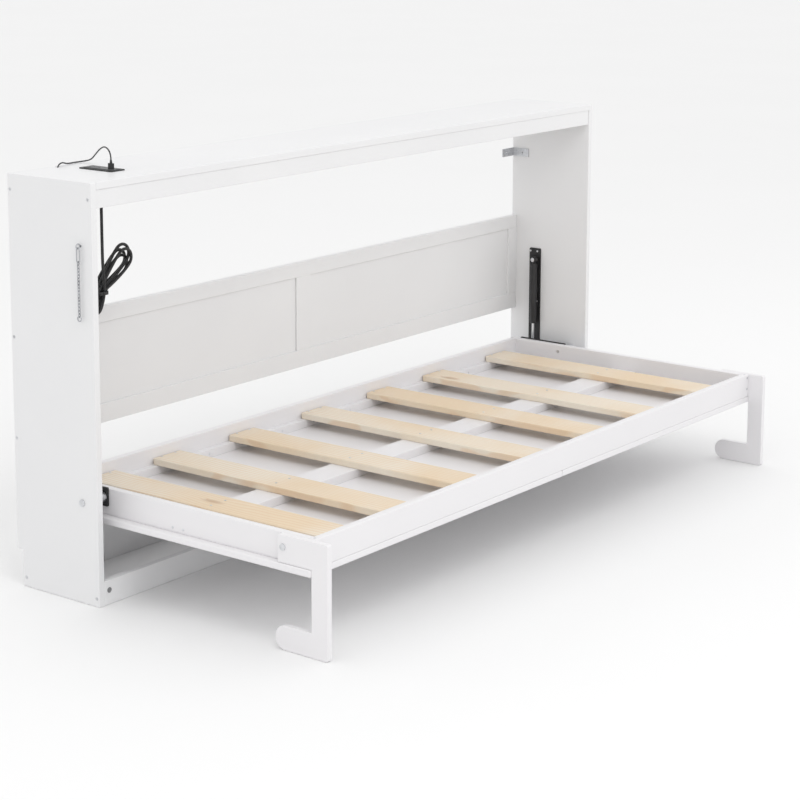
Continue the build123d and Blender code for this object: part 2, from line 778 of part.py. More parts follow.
hank_y = unit_y + hank_offset
hank_bottom = hank_top - hank_height
tie_bottom = hank_top - tie_drop - tie_height
waist = (tie_drop - tie_reach, tie_drop + tie_height + tie_reach)
hank_outline = (
    (tie_half, waist[1]),
    (tie_half, waist[0]),
    *hank_fan,
    (-tie_half, waist[0]),
    (-tie_half, waist[1]),
    *hank_tail,
)
with BuildPart() as mains_hank:
    with BuildSketch(Plane.XZ.offset(-hank_y - hank_depth / 2)):
        with BuildLine():
            Polyline(*[(mains_x + along, hank_top - drop) for along, drop in hank_outline], close=True)
        make_face()
    extrude(amount=hank_depth)
    fillet(mains_hank.edges().filter_by(Axis.Y), radius=hank_corner)
save(mains_hank, "mains_hank")

with BuildPart() as hank_tie:
    with BuildSketch(Plane.XY.offset(tie_bottom)):
        with Locations((mains_x, hank_y)):
            tie_inside = (2 * (tie_half + tie_fit), hank_depth + 2 * tie_fit)
            Rectangle(tie_inside[0] + 2 * tie_wall, tie_inside[1] + 2 * tie_wall)
            Rectangle(*tie_inside, mode=Mode.SUBTRACT)
    extrude(amount=tie_height)
save(hank_tie, "hank_tie")

plug_x = mains_x + plug_offset[0]
plug_y = unit_y + plug_offset[1]
with BuildPart() as mains_plug:
    with BuildSketch(Plane.XY.offset(hank_bottom)):
        with Locations((plug_x, plug_y)):
            RectangleRounded(*plug_neck, plug_corner)
    with BuildSketch(Plane.XY.offset(hank_bottom - plug_height)):
        with Locations((plug_x, plug_y)):
            RectangleRounded(*plug_face, plug_corner)
    loft()
    with BuildSketch(Plane.XY.offset(hank_bottom - plug_height)):
        with Locations((plug_x - plug_blade_offset, plug_y), (plug_x + plug_blade_offset, plug_y)):
            Rectangle(*plug_blade)
    extrude(amount=-plug_blade_length)
save(mains_plug, "mains_plug")

# Charging lead: from its plug on the power unit, over the shelf, and down through the slot at the rear edge
lead_plug_top = cabinet_height + lead_plug_rise
lead_points = (
    (lead_plug_x, lead_plug_y, lead_plug_top),
    (lead_plug_x, lead_plug_y, lead_plug_top + lead_rise),
    *[(along, out, cabinet_height + rise) for along, out, rise in lead_route],
)
with BuildPart() as lead_plug:
    with BuildSketch(Plane.XY.offset(face_top)):
        with Locations((lead_plug_x, lead_plug_y)):
            RectangleRounded(*lead_plug_body, lead_plug_corner)
    extrude(amount=lead_plug_height)
    with BuildSketch(Plane.XY.offset(face_top + lead_plug_height)):
        with Locations((lead_plug_x, lead_plug_y)):
            Circle(lead_relief_radii[0])
    with BuildSketch(Plane.XY.offset(lead_plug_top)):
        with Locations((lead_plug_x, lead_plug_y)):
            Circle(lead_relief_radii[1])
    loft()
save(lead_plug, "lead_plug")
save(cord_tube(lead_points, lead_diameter, "charging lead"), "charging_lead")

lead_end = lead_points[-1]
connector_top = lead_end[2] - lead_hank_size[2]
with BuildPart() as lead_hank:
    with BuildSketch(Plane.XY.offset(connector_top)):
        with Locations((lead_end[0], lead_end[1] - lead_hank_offset)):
            RectangleRounded(lead_hank_size[0], lead_hank_size[1], lead_hank_corner)
    extrude(amount=lead_hank_size[2])
save(lead_hank, "lead_hank")
with BuildPart() as lead_connector:
    with BuildSketch(Plane.XY.offset(connector_top - connector_length)):
        with Locations((lead_end[0], lead_end[1] - connector_offset)):
            RectangleRounded(*connector_body, connector_corners[0])
    extrude(amount=connector_length)
    with BuildSketch(Plane.XY.offset(connector_top - connector_length)):
        with Locations((lead_end[0], lead_end[1] - connector_offset)):
            RectangleRounded(*connector_tongue, connector_corners[1])
    extrude(amount=-connector_tongue_length)
save(lead_connector, "lead_connector")

# ---------------------------------------------------------------- safety chain on the left panel


def wire_loop(middle_z, sideways, length, bend, wire):
    """A closed loop of round wire that hangs upright, flat to the panel or sideways to it."""
    normal = (0, 1, 0) if sideways else (1, 0, 0)
    plane = Plane((chain_x, chain_y, middle_z), x_dir=(0, 0, 1), z_dir=normal)
    with BuildPart() as loop:
        with BuildSketch(plane, mode=Mode.PRIVATE) as outline:
            SlotCenterToCenter(length - 2 * bend, 2 * bend)
        path = outline.sketch.wire()
        with BuildSketch(Plane(path @ 0, z_dir=path % 0)):
            Circle(wire)
        sweep(path=path)
    return loop


with BuildPart() as screw_eye:
    with Locations(Location((chain_x, chain_y, chain_top), (90, 0, 0))):
        Torus(eye_ring_radius, chain_wire)
    round_along_x((chain_x + eye_ring_radius, -half_length), chain_y, chain_top, chain_wire)
    round_along_x((-half_length - 1, -half_length), chain_y, chain_top, 2 * chain_wire)
save(screw_eye, "chain_screw_eye")

hook_top = chain_top - eye_ring_radius + 2 * chain_wire + chain_gap
save(wire_loop(hook_top - hook_length / 2, False, hook_length, hook_bend, chain_wire), "chain_hook")

link_step = link_length - 2 * link_wire - chain_gap
first_link = hook_top - hook_length + chain_wire + link_wire + chain_gap - link_length / 2
links = []
for number in range(link_count):
    link_z = first_link - number * link_step
    links.append(wire_loop(link_z, number % 2 == 0, link_length, link_bend, link_wire))
with BuildPart() as chain_links:
    for link in links:
        add(link.part)
save(chain_links, "chain_links")

last_link = first_link - (link_count - 1) * link_step
ring_top = last_link - link_length / 2 + chain_wire + link_wire + chain_gap
with BuildPart() as end_ring:
    with Locations(Location((chain_x, chain_y, ring_top - end_ring_radius), (0, 90, 0))):
        Torus(end_ring_radius, chain_wire)
save(end_ring, "chain_end_ring")
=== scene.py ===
# %% [markdown]
# # A wall bed, dressed for its portrait
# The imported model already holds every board, slat, hinge and strut at its real size, so this lesson never
# moves one. What is left is what the eye judges: paint, pine, steel and plastic, the two leads, and the small
# fasteners that catch the light. Everything is in metres: X along the cabinet, Y to the wall, Z up.

# %% Load the model and keep its box
from math import cos, pi, radians, sin

import bmesh
import bpy
from mathutils import Matrix, Vector


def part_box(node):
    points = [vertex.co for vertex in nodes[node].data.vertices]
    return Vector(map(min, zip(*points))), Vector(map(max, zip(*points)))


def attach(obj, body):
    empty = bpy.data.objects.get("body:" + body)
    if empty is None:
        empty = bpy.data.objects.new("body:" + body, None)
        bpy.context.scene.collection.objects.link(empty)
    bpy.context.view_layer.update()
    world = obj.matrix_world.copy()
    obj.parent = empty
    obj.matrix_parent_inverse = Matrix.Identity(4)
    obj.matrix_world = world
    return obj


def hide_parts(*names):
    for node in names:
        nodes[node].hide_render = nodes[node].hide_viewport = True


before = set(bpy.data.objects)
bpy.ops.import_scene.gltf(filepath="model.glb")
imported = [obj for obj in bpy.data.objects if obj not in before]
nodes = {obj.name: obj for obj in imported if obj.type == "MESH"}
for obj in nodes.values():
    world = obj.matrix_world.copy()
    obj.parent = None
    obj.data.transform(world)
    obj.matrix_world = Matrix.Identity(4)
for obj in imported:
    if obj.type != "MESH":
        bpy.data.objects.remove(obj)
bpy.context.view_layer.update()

# %% [markdown]
# ## Shader sums written as Python
# A roughness such as `0.4 + 0.1 * noise` takes two Math nodes and four links by hand. One small class wraps a
# node's output and turns Python's own operators into those nodes. Any other node comes from `Shader.node`,
# which sets the node's own settings first, because they decide which sockets it has.


# %% A value that comes out of a node
class Value:
    """The output of a shader node, with Python's operators for numbers."""

    def __init__(self, shader, socket):
        self.shader = shader
        self.socket = socket

    def math(self, operation, first, second):
        settings = {"operation": operation}
        return self.shader.node("ShaderNodeMath", settings, {0: first, 1: second})

    def __add__(self, other):
        return self.math("ADD", self, other)

    def __radd__(self, other):
        return self.math("ADD", other, self)

    def __sub__(self, other):
        return self.math("SUBTRACT", self, other)

    def __rsub__(self, other):
        return self.math("SUBTRACT", other, self)

    def __mul__(self, other):
        return self.math("MULTIPLY", self, other)

    def __rmul__(self, other):
        return self.math("MULTIPLY", other, self)

    def __truediv__(self, other):
        return self.math("DIVIDE", self, other)


# %% A material that is built line by line
class Shader:
    """One material. Constants sit on its own sockets, and only what varies is linked."""

    def __init__(self, name, **constants):
        self.material = bpy.data.materials.new(name)
        self.material.use_nodes = True
        self.tree = self.material.node_tree
        self.surface = self.tree.nodes["Principled BSDF"]
        for socket, value in constants.items():
            self.surface.inputs[socket.replace("_", " ")].default_value = value
        place = self.tree.nodes.new("ShaderNodeTexCoord")
        self.place = Value(self, place.outputs["Object"])

    def node(self, kind, settings=None, inputs=None, output=0):
        made = self.tree.nodes.new(kind)
        for setting, value in (settings or {}).items():
            setattr(made, setting, value)
        for socket, value in (inputs or {}).items():
            if isinstance(value, Value):
                self.tree.links.new(value.socket, made.inputs[socket])
            else:
                made.inputs[socket].default_value = value
        return Value(self, made.outputs[output])

    def scaled(self, scale, place=None):
        """The place on the piece, stretched along each axis, which sets the pattern's size."""
        settings = {"operation": "MULTIPLY"}
        return self.node("ShaderNodeVectorMath", settings, {0: place or self.place, 1: scale})

    def noise(self, scale, detail, place=None):
        inputs = {"Vector": place or self.place, "Scale": scale, "Detail": detail}
        return self.node("ShaderNodeTexNoise", {}, inputs)

    def ramp(self, value, low, high):
        """0 below low, 1 above high, smooth between."""
        settings = {"interpolation_type": "SMOOTHSTEP", "clamp": True}
        return self.node("ShaderNodeMapRange", settings, {0: value, 1: low, 2: high})

    def mix(self, factor, first, second):
        """The first colour where the factor is 0, the second where it is 1."""
        settings = {"data_type": "RGBA", "blend_type": "MIX"}
        inputs = {0: factor, 6: rgba(first), 7: rgba(second)}
        return self.node("ShaderNodeMix", settings, inputs, output=2)

    def bump(self, height, distance, strength):
        inputs = {"Height": height, "Distance": distance, "Strength": strength}
        self.put("Normal", self.node("ShaderNodeBump", {}, inputs))

    def put(self, socket, value):
        self.tree.links.new(value.socket, self.surface.inputs[socket])


def rgba(colour):
    """A colour socket takes four numbers."""
    return colour if isinstance(colour, Value) else (*colour, 1.0)


# %% [markdown]
# ## Painted board
# The boards are sprayed white. From near by such a coat is never flat: it has the faint dimples of orange
# peel, about a millimetre across, a slow drift in tone where the coat is thicker, and a gloss that changes a
# little with it. Each is a few percent, so the board still reads as clean white. The bed's own boards come
# from another batch of paint, with a faint violet cast, so the same recipe is run with a second pair of
# whites.


# %% White paint
def white_paint(name, bright, deep):
    """Sprayed paint that drifts between two whites, with fine dimples."""
    shader = Shader(name, Coat_Weight=0.12, Coat_Roughness=0.35)
    drift = shader.noise(2.3, 3.0)
    specks = shader.ramp(shader.noise(160.0, 2.0), 0.70, 0.80)
    coat = shader.mix(shader.ramp(drift, 0.3, 0.7), bright, deep)
    shader.put("Base Color", shader.mix(specks * 0.35, coat, tuple(0.93 * part for part in deep)))
    peel = shader.noise(720.0, 2.0)
    roller = shader.noise(190.0, 3.0)
    shader.put("Roughness", 0.36 + 0.10 * drift + 0.06 * roller)
    shader.bump(0.6 * peel + 0.4 * roller, 0.00010, 0.55)
    return shader.material


cabinet_paint = white_paint("cabinet_white", (0.800, 0.800, 0.805), (0.780, 0.780, 0.787))
bed_paint = white_paint("bed_white", (0.818, 0.806, 0.818), (0.797, 0.785, 0.799))
print("paints:", cabinet_paint.name, bed_paint.name)

# %% [markdown]
# ## Pine slats
# A flat-sawn pine slat shows long, slightly wavy bands: wide pale early wood and thin darker late wood, with
# a knot here and there. A sine across the slat gives the bands, and a noise that is stretched along it bends
# them and draws the fibres. The seven slats are one mesh, so each has to be given a part of the pattern of
# its own: their middles are 0.24 to 0.34 m apart, and rounding X in steps of 0.3 m gives every slat its own
# whole number to shift by.

# %% Pine
SLAT_STEP = 0.3


def pine():
    """Flat-sawn pine with its grain along Y."""
    shader = Shader("pine", Coat_Weight=0.05, Coat_Roughness=0.4)
    x = shader.node("ShaderNodeSeparateXYZ", {}, {0: shader.place}, output=0)
    number = shader.node("ShaderNodeMath", {"operation": "ROUND"}, {0: x / SLAT_STEP})
    shift = shader.node("ShaderNodeCombineXYZ", {}, {0: number * 1.37, 1: number * 2.11, 2: number * 0.53})
    place = shader.node("ShaderNodeVectorMath", {"operation": "ADD"}, {0: shader.place, 1: shift})
    knots = shader.node(
        "ShaderNodeTexVoronoi",
        {"feature": "F1"},
        {"Vector": shader.scaled((6.0, 2.1, 0.6), place), "Scale": 1.0, "Randomness": 1.0},
    )
    knot = 1.0 - shader.ramp(knots, 0.02, 0.11)
    bend = shader.noise(3.2, 2.0, shader.scaled((2.0, 0.9, 2.0), place))
    wood_x = shader.node("ShaderNodeSeparateXYZ", {}, {0: place}, output=0)
    phase = (wood_x + 0.060 * bend + 0.020 * knot) * 520.0
    bands = shader.node("ShaderNodeMath", {"operation": "SINE"}, {0: phase})
    late = shader.ramp(bands, 0.1, 1.0)
    fibre = shader.noise(1.0, 4.0, shader.scaled((900.0, 14.0, 900.0), place))
    tone = shader.noise(2.6, 3.0, place)
    pale = shader.mix(shader.ramp(tone, 0.35, 0.65), (0.84, 0.78, 0.67), (0.80, 0.66, 0.48))
    banded = shader.mix(late * 0.46, pale, (0.72, 0.48, 0.28))
    grained = shader.mix(fibre * 0.22, banded, (0.66, 0.48, 0.31))
    shader.put("Base Color", shader.mix(knot * 0.7, grained, (0.42, 0.23, 0.11)))
    shader.put("Roughness", 0.62 - 0.10 * late + 0.10 * fibre)
    shader.bump(0.7 * fibre + 0.3 * late, 0.00016, 0.6)
    return shader.material


pine_wood = pine()
print("pine:", len(pine_wood.node_tree.nodes), "nodes")

# %% [markdown]
# ## Steel and plastic
# The metals are told apart by their gloss more than by their colour. Powder coat is black with a fine pebble.
# Bright zinc has brush marks drawn along it. Galvanised sheet has pale crystals a few millimetres across. The
# plastics have the even spark-eroded texture of their mould, with a sheen that comes and goes.


# %% Black powder coat
def powder_coat():
    """Black coat with a fine pebble and paler patches of painted sheen."""
    shader = Shader("black_powder_coat", Coat_Weight=0.1, Coat_Roughness=0.5)
    pebble = shader.noise(1500.0, 2.0)
    coat_sheen_noise = shader.noise(18.0, 4.0)
    painted_coat_sheen = shader.ramp(coat_sheen_noise, 0.4, 0.8)
    # The paler patches in the colour are painted sheen; the same noise also varies the roughness.
    shader.put("Base Color", shader.mix(painted_coat_sheen, (0.012, 0.012, 0.013), (0.030, 0.030, 0.032)))
    shader.put("Roughness", 0.38 + 0.12 * coat_sheen_noise + 0.08 * pebble)
    shader.bump(pebble, 0.00012, 0.5)
    return shader.material


# %% Bright zinc and galvanised sheet
def zinc(name, colour, grain):
    """Zinc plate with fine marks; grain sets how fine they are along each axis."""
    shader = Shader(name, Metallic=1.0)
    brush = shader.noise(1.0, 3.0, shader.scaled(grain))
    cloud = shader.noise(45.0, 3.0)
    dark = tuple(0.72 * part for part in colour)
    shader.put("Base Color", shader.mix(shader.ramp(cloud, 0.35, 0.75), colour, dark))
    shader.put("Roughness", 0.24 + 0.14 * brush + 0.10 * cloud)
    shader.bump(brush, 0.00003, 0.5)
    return shader.material


def galvanised():
    """Sheet with a crystal pattern, each crystal with its own gloss."""
    shader = Shader("galvanised_sheet", Metallic=0.9)
    cells = {"Vector": shader.place, "Scale": 190.0}
    crystals = shader.node("ShaderNodeTexVoronoi", {"feature": "F1"}, cells, output=1)
    spangle = shader.node("ShaderNodeSeparateColor", {}, {0: crystals}, output=0)
    shader.put("Base Color", shader.mix(spangle * 0.6, (0.66, 0.67, 0.69), (0.50, 0.51, 0.53)))
    shader.put("Roughness", 0.34 + 0.16 * spangle)
    shader.bump(spangle, 0.00002, 0.4)
    return shader.material


# %% Moulded plastic and lead sheath
def moulded(name, colour, roughness, pebble_scale):
    """Plastic or rubber with the texture of its mould."""
    shader = Shader(name, Coat_Weight=0.05, Coat_Roughness=0.4)
    pebble = shader.noise(pebble_scale, 2.0)
    mould_sheen_noise = shader.noise(30.0, 3.0)
    # Paler patches in the colour are painted sheen; the same noise also varies the roughness.
    painted_sheen_colour = tuple(1.35 * part + 0.004 for part in colour)
    shader.put("Base Color", shader.mix(shader.ramp(mould_sheen_noise, 0.4, 0.8), colour, painted_sheen_colour))
    shader.put("Roughness", roughness + 0.12 * mould_sheen_noise + 0.06 * pebble)
    shader.bump(pebble, 0.00008, 0.5)
    return shader.material


powder_black = powder_coat()
bright_zinc = zinc("bright_zinc", (0.78, 0.79, 0.81), (220.0, 2400.0, 2400.0))
chain_zinc = zinc("chain_zinc", (0.52, 0.53, 0.55), (900.0, 900.0, 900.0))
galvanised_sheet = galvanised()
black_plastic = moulded("black_plastic", (0.014, 0.014, 0.015), 0.40, 1700.0)
grey_plastic = moulded("grey_plastic", (0.075, 0.075, 0.078), 0.34, 1900.0)
cap_plastic = moulded("cap_plastic", (0.20, 0.20, 0.205), 0.42, 1500.0)
mains_sheath = moulded("mains_sheath", (0.010, 0.010, 0.011), 0.42, 900.0)
lead_sheath = moulded("lead_sheath", (0.020, 0.020, 0.022), 0.46, 1300.0)
print("metals:", powder_black.name, bright_zinc.name, chain_zinc.name, galvanised_sheet.name)
print("plastics:", black_plastic.name, grey_plastic.name, cap_plastic.name)
print("sheaths:", mains_sheath.name, lead_sheath.name)

# %% [markdown]
# ## Giving the finishes out
# A CAD node keeps its mesh, and only the material in its slot changes. Going by the start of the name keeps
# the list as short as the object's own logic: what is bolted to the bed is painted with the bed.

# %% Dress the CAD nodes
FINISHES = {
    "slats": pine_wood,
    "slat_screws": bright_zinc,
    "slat_angles": galvanised_sheet,
    "bed_screws": bright_zinc,
    "bed_bolts": bright_zinc,
    "bed_lever": powder_black,
    "bed_": bed_paint,
    "front_cleat": bed_paint,
    "rear_cleat": bed_paint,
    "centre_beam": bed_paint,
    "leg_": bed_paint,
    "strut_plate": powder_black,
    "strut_cylinder": powder_black,
    "strut_rod": bright_zinc,
    "pivot_": bright_zinc,
    "wall_brackets": galvanised_sheet,
    "cabinet_screws": bright_zinc,
    "connector_caps": cap_plastic,
    "chain": chain_zinc,
    "power_face": grey_plastic,
    "power_": black_plastic,
    "mains_": black_plastic,
    "hank_tie": black_plastic,
    "lead_": black_plastic,
    "charging_lead": lead_sheath,
}


def dress(piece, material):
    """Gives a piece one material, in place of any that it has."""
    piece.data.materials.clear()
    piece.data.materials.append(material)


for name, node in nodes.items():
    starts = [start for start in FINISHES if name.startswith(start)]
    dress(node, FINISHES[starts[0]] if starts else cabinet_paint)
print("dressed:", len(nodes), "nodes")

# %% [markdown]
# ## The two leads
# A lead is one smooth curve with a round section. Its control points are the places that a hand would pull it
# through. The mains lead drops straight out of its gland, and then its spare length is gathered in a tied
# hank whose loops fan out above the tie. A loop of the hank is a fold at the top, a pass through the tie, a
# fold below it and another pass. Each loop lies a little over one lead's width behind the last, and steps
# back in its lower fold, so the turns never run through each other.


# %% A smooth cord
def cord(name, route, diameter, material):
    """One spline with a round section; the order is set after the points are added."""
    data = bpy.data.curves.new(name, "CURVE")
    data.dimensions = "3D"
    data.bevel_depth = diameter / 2
    data.bevel_resolution = 4
    data.resolution_u = 6
    data.use_fill_caps = True
    spline = data.splines.new("NURBS")
    spline.points.add(len(route) - 1)
    for point, place in zip(spline.points, route):
        point.co = (*place, 1.0)
    spline.order_u = 3
    spline.use_endpoint_u = True
    data.materials.append(material)
    piece = bpy.data.objects.new(name, data)
    bpy.context.scene.collection.objects.link(piece)
    return piece


FOLD_TURNS = (0, 0.25, 0.5, 0.75, 1)  # places round the half turn of a fold
FOLD_BULGE = 1.08  # a fold is a little longer than a half circle


def fold(middle, along, radius, levels, step):
    """The half turn of a loop, as (x, y, z) points; it starts on the left of the line it bulges along."""
    across = (along[1], -along[0])
    points = []
    for share in FOLD_TURNS:
        angle = pi * (1 - share)
        side, ahead = radius * cos(angle), radius * FOLD_BULGE * sin(angle)
        x = middle[0] + side * across[0] + ahead * along[0]
        z = middle[1] + side * across[1] + ahead * along[1]
        level = levels[0] + share * (levels[1] - levels[0])
        points.append((x, step[0] + level * step[1], z))
    return points


# %% Mains lead
MAINS = 0.008
gland_low, gland_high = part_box("mains_gland")
mains_x = (gland_low.x + gland_high.x) / 2
mains_y = (gland_low.y + gland_high.y) / 2
tie_low, tie_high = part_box("hank_tie")
tie_z = (tie_low.z + tie_high.z) / 2
MAINS_LEVELS = (mains_y, 0.0086)  # where the first level is, and the step to the next
# Each loop's lean from upright in degrees, the reach of its fold from the tie, and the fold's radius
LOOPS = ((49, 0.114, 0.025), (45, 0.120, 0.026), (57, 0.106, 0.024), (52, 0.114, 0.024))
SPREAD = 0.72  # of a loop's strands half way to its fold, in radii of the fold
LOWER_FOLD = 0.022
LOWER_LEAN = radians(40)
LOWER_REACH = 0.038
STRAND = 0.006  # from the middle of the tie to a strand
PLUG_GRIP = 0.001  # how far a lead goes into what is on its end


def at_level(x, level, z):
    """A place on a level of the hank; level 0 is the lead's straight run."""
    return (x, MAINS_LEVELS[0] + level * MAINS_LEVELS[1], z)


def hank_loop(number, lean, reach, radius):
    """Up through the tie, round the top fold and back down, all on one level."""
    along = (sin(radians(lean)), cos(radians(lean)))
    across = (along[1], -along[0])
    middle = (mains_x + reach * along[0], tie_z + reach * along[1])
    way = [at_level(mains_x - STRAND, number, tie_z)]
    for side in (-1, 1):
        out = side * SPREAD * radius
        x = mains_x + 0.5 * reach * along[0] + out * across[0]
        z = tie_z + 0.5 * reach * along[1] + out * across[1]
        way.append(at_level(x, number, z))
        if side == -1:
            way += fold(middle, along, radius, (number, number), MAINS_LEVELS)
    return way + [at_level(mains_x + STRAND, number, tie_z)]


def lower_fold(number):
    """Below the tie, from the right side of one level to the left side of the next."""
    along = (-sin(LOWER_LEAN), -cos(LOWER_LEAN))
    middle = (mains_x + LOWER_REACH * along[0], tie_z + LOWER_REACH * along[1])
    return fold(middle, along, LOWER_FOLD, (number, number + 1), MAINS_LEVELS)


mains_route = [
    (mains_x, mains_y, gland_low.z),
    (mains_x, mains_y, 0.850),
    (mains_x + 0.001, mains_y, 0.800),
    (mains_x + 0.005, mains_y, 0.765),
    at_level(mains_x + STRAND, 0, tie_z),
]
for number, loop in enumerate(LOOPS, start=1):
    mains_route += lower_fold(number - 1) + hank_loop(number, *loop)
plug_low, plug_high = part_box("mains_plug")
plug_x = (plug_low.x + plug_high.x) / 2
plug_y = (plug_low.y + plug_high.y) / 2
mains_route += [
    at_level(mains_x + 0.003, len(LOOPS) + 0.4, tie_z - 0.016),
    (mains_x - 0.010, plug_y, tie_z - 0.034),
    (plug_x + 0.002, plug_y, tie_z - 0.050),
    (plug_x, plug_y, plug_high.z - PLUG_GRIP),
]
mains_lead = cord("mains_lead", mains_route, MAINS, mains_sheath)
print("mains lead points:", len(mains_route))

# %% [markdown]
# The charging lead is thin and springy. It rises out of its plug in an arch, comes down behind the power
# unit, runs along the wall edge of the shelf and goes down through the slot. What is left of it is folded
# in a small hank that hangs inside, in front of the top rail and below it. A strap holds the hank, and the
# connector hangs out below.

# %% Charging lead
LEAD = 0.0036
lead_route = [
    (-0.921, -0.173, 1.074),
    (-0.921, -0.173, 1.091),
    (-0.907, -0.141, 1.104),
    (-0.888, -0.104, 1.094),
    (-0.868, -0.066, 1.074),
    (-0.853, -0.034, 1.055),
    (-0.860, -0.008, 1.050),
    (-0.887, -0.007, 1.050),
    (-0.915, -0.011, 1.050),
    (-0.938, -0.017, 1.057),
    (-0.957, -0.021, 1.049),
    (-0.958, -0.023, 1.026),
    (-0.956, -0.024, 0.985),
    (-0.957, -0.026, 0.951),
    (-0.957, -0.026, 0.922),
]
lead_low, lead_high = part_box("lead_hank")
lead_x, lead_y, _ = lead_route[-1]
LEAD_LEVELS = (lead_y, -0.0039)
LEAD_FOLD = 0.0112
LEAD_TURNS = 3
LEAD_TOP = 0.002  # from the top of the hank's box to the middle of the lead
low_middle = (lead_x, lead_low.z + LEAD / 2 + FOLD_BULGE * LEAD_FOLD)
high_middle = (lead_x, lead_high.z - LEAD_TOP - FOLD_BULGE * LEAD_FOLD)
middle_z = (low_middle[1] + high_middle[1]) / 2
lead_route.append((lead_x + 0.007, lead_y, 0.909))
for number in range(LEAD_TURNS):
    y_now = LEAD_LEVELS[0] + number * LEAD_LEVELS[1]
    y_next = y_now + LEAD_LEVELS[1]
    lead_route.append((lead_x + LEAD_FOLD, y_now, middle_z))
    lead_route += fold(low_middle, (0, -1), LEAD_FOLD, (number, number + 1), LEAD_LEVELS)
    lead_route.append((lead_x - LEAD_FOLD, y_next, middle_z))
    lead_route += fold(high_middle, (0, 1), LEAD_FOLD, (number + 1, number + 1), LEAD_LEVELS)
connector_low, connector_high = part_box("lead_connector")
connector_x = (connector_low.x + connector_high.x) / 2
connector_y = (connector_low.y + connector_high.y) / 2
lead_route += [
    (lead_x + LEAD_FOLD, LEAD_LEVELS[0] + LEAD_TURNS * LEAD_LEVELS[1], 0.882),
    (lead_x + 0.006, connector_y + 0.001, 0.866),
    (connector_x, connector_y, 0.858),
    (connector_x, connector_y, connector_high.z - PLUG_GRIP),
]
charging_cord = cord("charging_cord", lead_route, LEAD, lead_sheath)
print("charging lead points:", len(lead_route))

# %% [markdown]
# ## Turned pieces
# Screw heads, the strain relief and the small caps are all turned shapes. In the viewport one adds a disc,
# extrudes it, scales the new ring and repeats. A helper does the same from a list of rings, and the disc that
# is left at the start closes the piece.


# %% Discs, extruded ring by ring
def alone(piece):
    """Selects this piece and nothing else."""
    bpy.ops.object.select_all(action="DESELECT")
    piece.select_set(True)
    bpy.context.view_layer.objects.active = piece


def turned(name, rings, vertices=32):
    """A closed turned piece that stands along Z, from (radius, height) rings."""
    bpy.ops.object.select_all(action="DESELECT")
    radius, height = rings[0]
    bpy.ops.mesh.primitive_circle_add(vertices=vertices, radius=radius, fill_type="NGON")
    piece = bpy.context.object
    piece.name = name
    piece.data.transform(Matrix.Translation((0, 0, height)))
    bpy.ops.object.mode_set(mode="EDIT")
    bpy.ops.mesh.select_all(action="SELECT")
    for (before, low), (after, high) in zip(rings, rings[1:]):
        bpy.ops.mesh.extrude_region_move(TRANSFORM_OT_translate={"value": (0, 0, high - low)})
        factor = after / before
        bpy.ops.transform.resize(value=(factor, factor, 1), center_override=(0, 0, high))
    bpy.ops.mesh.select_all(action="SELECT")
    bpy.ops.mesh.normals_make_consistent(inside=False)
    bpy.ops.object.mode_set(mode="OBJECT")
    return piece


def apply_all(piece):
    """Applies every modifier of a piece, in order."""
    alone(piece)
    for modifier in list(piece.modifiers):
        bpy.ops.object.modifier_apply(modifier=modifier.name)


def block(name, size, middle):
    """A box at its size and place, to cut with or to start from."""
    bpy.ops.object.select_all(action="DESELECT")
    bpy.ops.mesh.primitive_cube_add(size=1)
    piece = bpy.context.object
    piece.name = name
    piece.data.transform(Matrix.Translation(middle) @ Matrix.Diagonal((*size, 1)))
    return piece


def joined(name, pieces):
    """Joins pieces into one mesh."""
    alone(pieces[0])
    for piece in pieces[1:]:
        piece.select_set(True)
    if len(pieces) > 1:
        bpy.ops.object.join()
    pieces[0].name = name
    return pieces[0]


def smooth(piece, angle=35):
    """Shades a piece smooth, but for edges where its faces meet at more than the angle in degrees."""
    alone(piece)
    bpy.ops.object.shade_smooth_by_angle(angle=radians(angle))


# %% [markdown]
# ## Screws with a real recess
# A flat disc reads as a sticker. A screw head reads as a screw because of its rounded rim and the cross in
# it. One head is made, with the cross cut by a Boolean, and copied to every place where the model has a
# screw. Those places are read from the model: each loose shell of a screws node is one screw.


# %% Where the screws are
def shells(node):
    """The boxes of a node's separate solids, from a merged copy of its loose triangles."""
    mesh = bmesh.new()
    mesh.from_mesh(nodes[node].data)
    bmesh.ops.remove_doubles(mesh, verts=mesh.verts, dist=1e-6)
    left = set(mesh.verts)
    boxes = []
    while left:
        front = [left.pop()]
        shell = list(front)
        while front:
            for edge in front.pop().link_edges:
                for vert in edge.verts:
                    if vert in left:
                        left.remove(vert)
                        front.append(vert)
                        shell.append(vert)
        low = Vector([min(vert.co[axis] for vert in shell) for axis in range(3)])
        high = Vector([max(vert.co[axis] for vert in shell) for axis in range(3)])
        boxes.append((low, high))
    mesh.free()
    return sorted(boxes, key=lambda box: tuple(round(part, 5) for part in box[0]))


CROSS_WIDTH = 0.24  # of an arm of the recess, in radii of the head


def cut_cross(screw, radius, reach, depth, top):
    """Cuts a cross recess into a head; reach is the length of an arm in radii."""
    arm, width = reach * radius, CROSS_WIDTH * radius
    cutters = [
        block("cross_along", (arm, width, 2 * depth), (0, 0, top)),
        block("cross_over", (width, arm, 2 * depth), (0, 0, top)),
    ]
    for cutter in cutters:
        cut = screw.modifiers.new("recess", "BOOLEAN")
        cut.object = cutter
        cut.solver = "EXACT"
    apply_all(screw)
    for cutter in cutters:
        bpy.data.objects.remove(cutter)


def screw_head(radius, rise):
    """A low domed head on Z = 0 with a cross recess."""
    rings = [(radius, 0), (radius, 0.35 * rise), (0.88 * radius, 0.8 * rise), (0.6 * radius, rise)]
    head = turned("screw_head", rings, 20)
    cut_cross(head, radius, 1.15, 0.62 * rise, rise)
    return head


